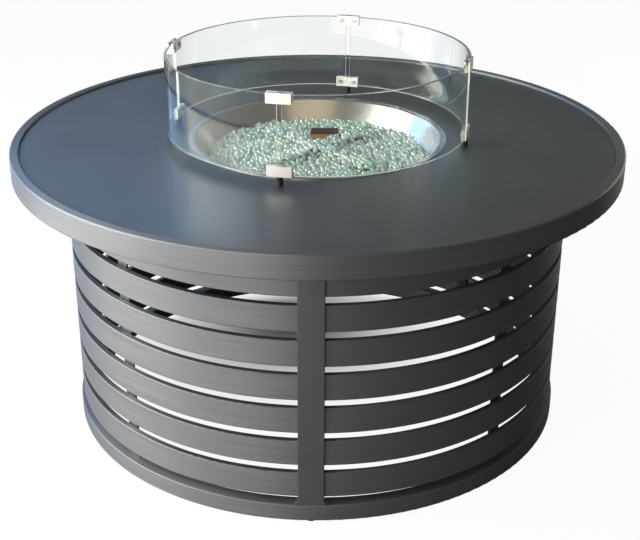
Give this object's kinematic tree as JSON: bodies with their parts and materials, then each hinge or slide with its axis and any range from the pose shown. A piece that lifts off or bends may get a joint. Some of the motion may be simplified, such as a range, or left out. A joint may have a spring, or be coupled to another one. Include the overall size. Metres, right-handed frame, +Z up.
{
  "type": "gas fire pit table",
  "caption": "Round gas fire table: slatted drum base with a hinged door, wide flat top, steel burner bowl with glass beads, and a lift-off ring of bent glass.",
  "frame": {"origin": "on the floor under the middle of the table", "axes": "+Z up; -Y towards the stile that faces the viewer, +X to the viewer's right"},
  "size_m": [1.32, 1.32, 0.8173],
  "materials": {
    "powder_coated_aluminium": "charcoal powder coat, satin",
    "brushed_stainless": "brushed",
    "zinc_plated_steel": "zinc plate",
    "hinge_steel": "powder coat",
    "magnet": "matt ferrite",
    "brass": "machined",
    "cast_aluminium": "die cast",
    "heat_stained_steel": "heat stained",
    "ceramic": "glazed",
    "glass_beads": "fire polished beads",
    "clear_glass": "tempered, polished",
    "black_plastic": "moulded",
    "button_plastic": "moulded",
    "rubber": "moulded",
    "lead_sheath": "silicone sleeve",
    "copper": "drawn"
  },
  "bodies": {
    "frame": {"floor_glides": "black_plastic", "bottom_ring": "powder_coated_aluminium", "top_ring": "powder_coated_aluminium", "front_stile": "powder_coated_aluminium", "right_stile": "powder_coated_aluminium", "back_stile": "powder_coated_aluminium", "left_stile": "powder_coated_aluminium", "slats_front_left": "powder_coated_aluminium", "slats_front_right": "powder_coated_aluminium", "slats_back_left": "powder_coated_aluminium", "panel_braces": "powder_coated_aluminium", "rim_tube": "powder_coated_aluminium", "top_panel": "powder_coated_aluminium", "burner_hoop": "powder_coated_aluminium", "top_spokes": "powder_coated_aluminium", "frame_bolts": "zinc_plated_steel", "hinge_frame_leaves": "hinge_steel", "hinge_pins": "zinc_plated_steel", "hinge_frame_screws": "zinc_plated_steel", "catch_bracket": "hinge_steel", "catch_magnet": "magnet", "burner_bowl": "brushed_stainless", "burner_cross": "heat_stained_steel", "inlet_elbow": "brass", "inlet_locknuts": "brass", "air_mixer": "brass", "pilot_hood": "heat_stained_steel", "pilot_bracket": "brushed_stainless", "spark_electrode": "ceramic", "thermocouple": "brushed_stainless", "fire_glass": "glass_beads", "control_panel": "brushed_stainless", "gas_valve": "cast_aluminium", "valve_screws": "zinc_plated_steel", "gas_inlet": "brass", "igniter_body": "black_plastic", "igniter_nut": "black_plastic", "feed_tube": "cast_aluminium", "flare_nuts": "brass", "igniter_lead": "lead_sheath", "thermocouple_lead": "copper"},
    "door": {"door_hinge_bar": "powder_coated_aluminium", "door_latch_bar": "powder_coated_aluminium", "door_slats": "powder_coated_aluminium", "door_brace": "powder_coated_aluminium", "hinge_door_leaves": "hinge_steel", "hinge_door_screws": "zinc_plated_steel", "catch_strike": "zinc_plated_steel"},
    "wind_guard": {"glass_front_right": "clear_glass", "glass_back_right": "clear_glass", "glass_back_left": "clear_glass", "glass_front_left": "clear_glass", "clip_outer_plates": "brushed_stainless", "clip_inner_plates": "brushed_stainless", "clip_screws": "brushed_stainless", "guard_feet": "rubber"},
    "valve_push": {"stem_collar": "zinc_plated_steel"},
    "knob": {"control_knob": "black_plastic", "valve_stem": "brass"},
    "button": {"igniter_button": "button_plastic"}
  },
  "joints": [
    {"name": "door_swing", "type": "hinge", "parent": "frame", "child": "door", "pos_m": [0.5565, 0.028, 0.3], "axis": [0, 0, -1], "range_deg": [0, 110]},
    {"name": "guard_lift", "type": "slide", "parent": "frame", "child": "wind_guard", "axis": [0, 0, 1], "range_m": [0, 0.25]},
    {"name": "knob_push", "type": "slide", "parent": "frame", "child": "valve_push", "axis": [0.7071, -0.7071, 0], "range_m": [0, 0.004], "stiffness_N_per_m": 1500},
    {"name": "knob_turn", "type": "hinge", "parent": "valve_push", "child": "knob", "pos_m": [-0.41012, 0.36487, 0.48828], "axis": [-0.7071, 0.7071, 0], "range_deg": [0, 180]},
    {"name": "button_press", "type": "slide", "parent": "frame", "child": "button", "axis": [0.7071, -0.7071, 0], "range_m": [0, 0.005], "stiffness_N_per_m": 800}
  ]
}
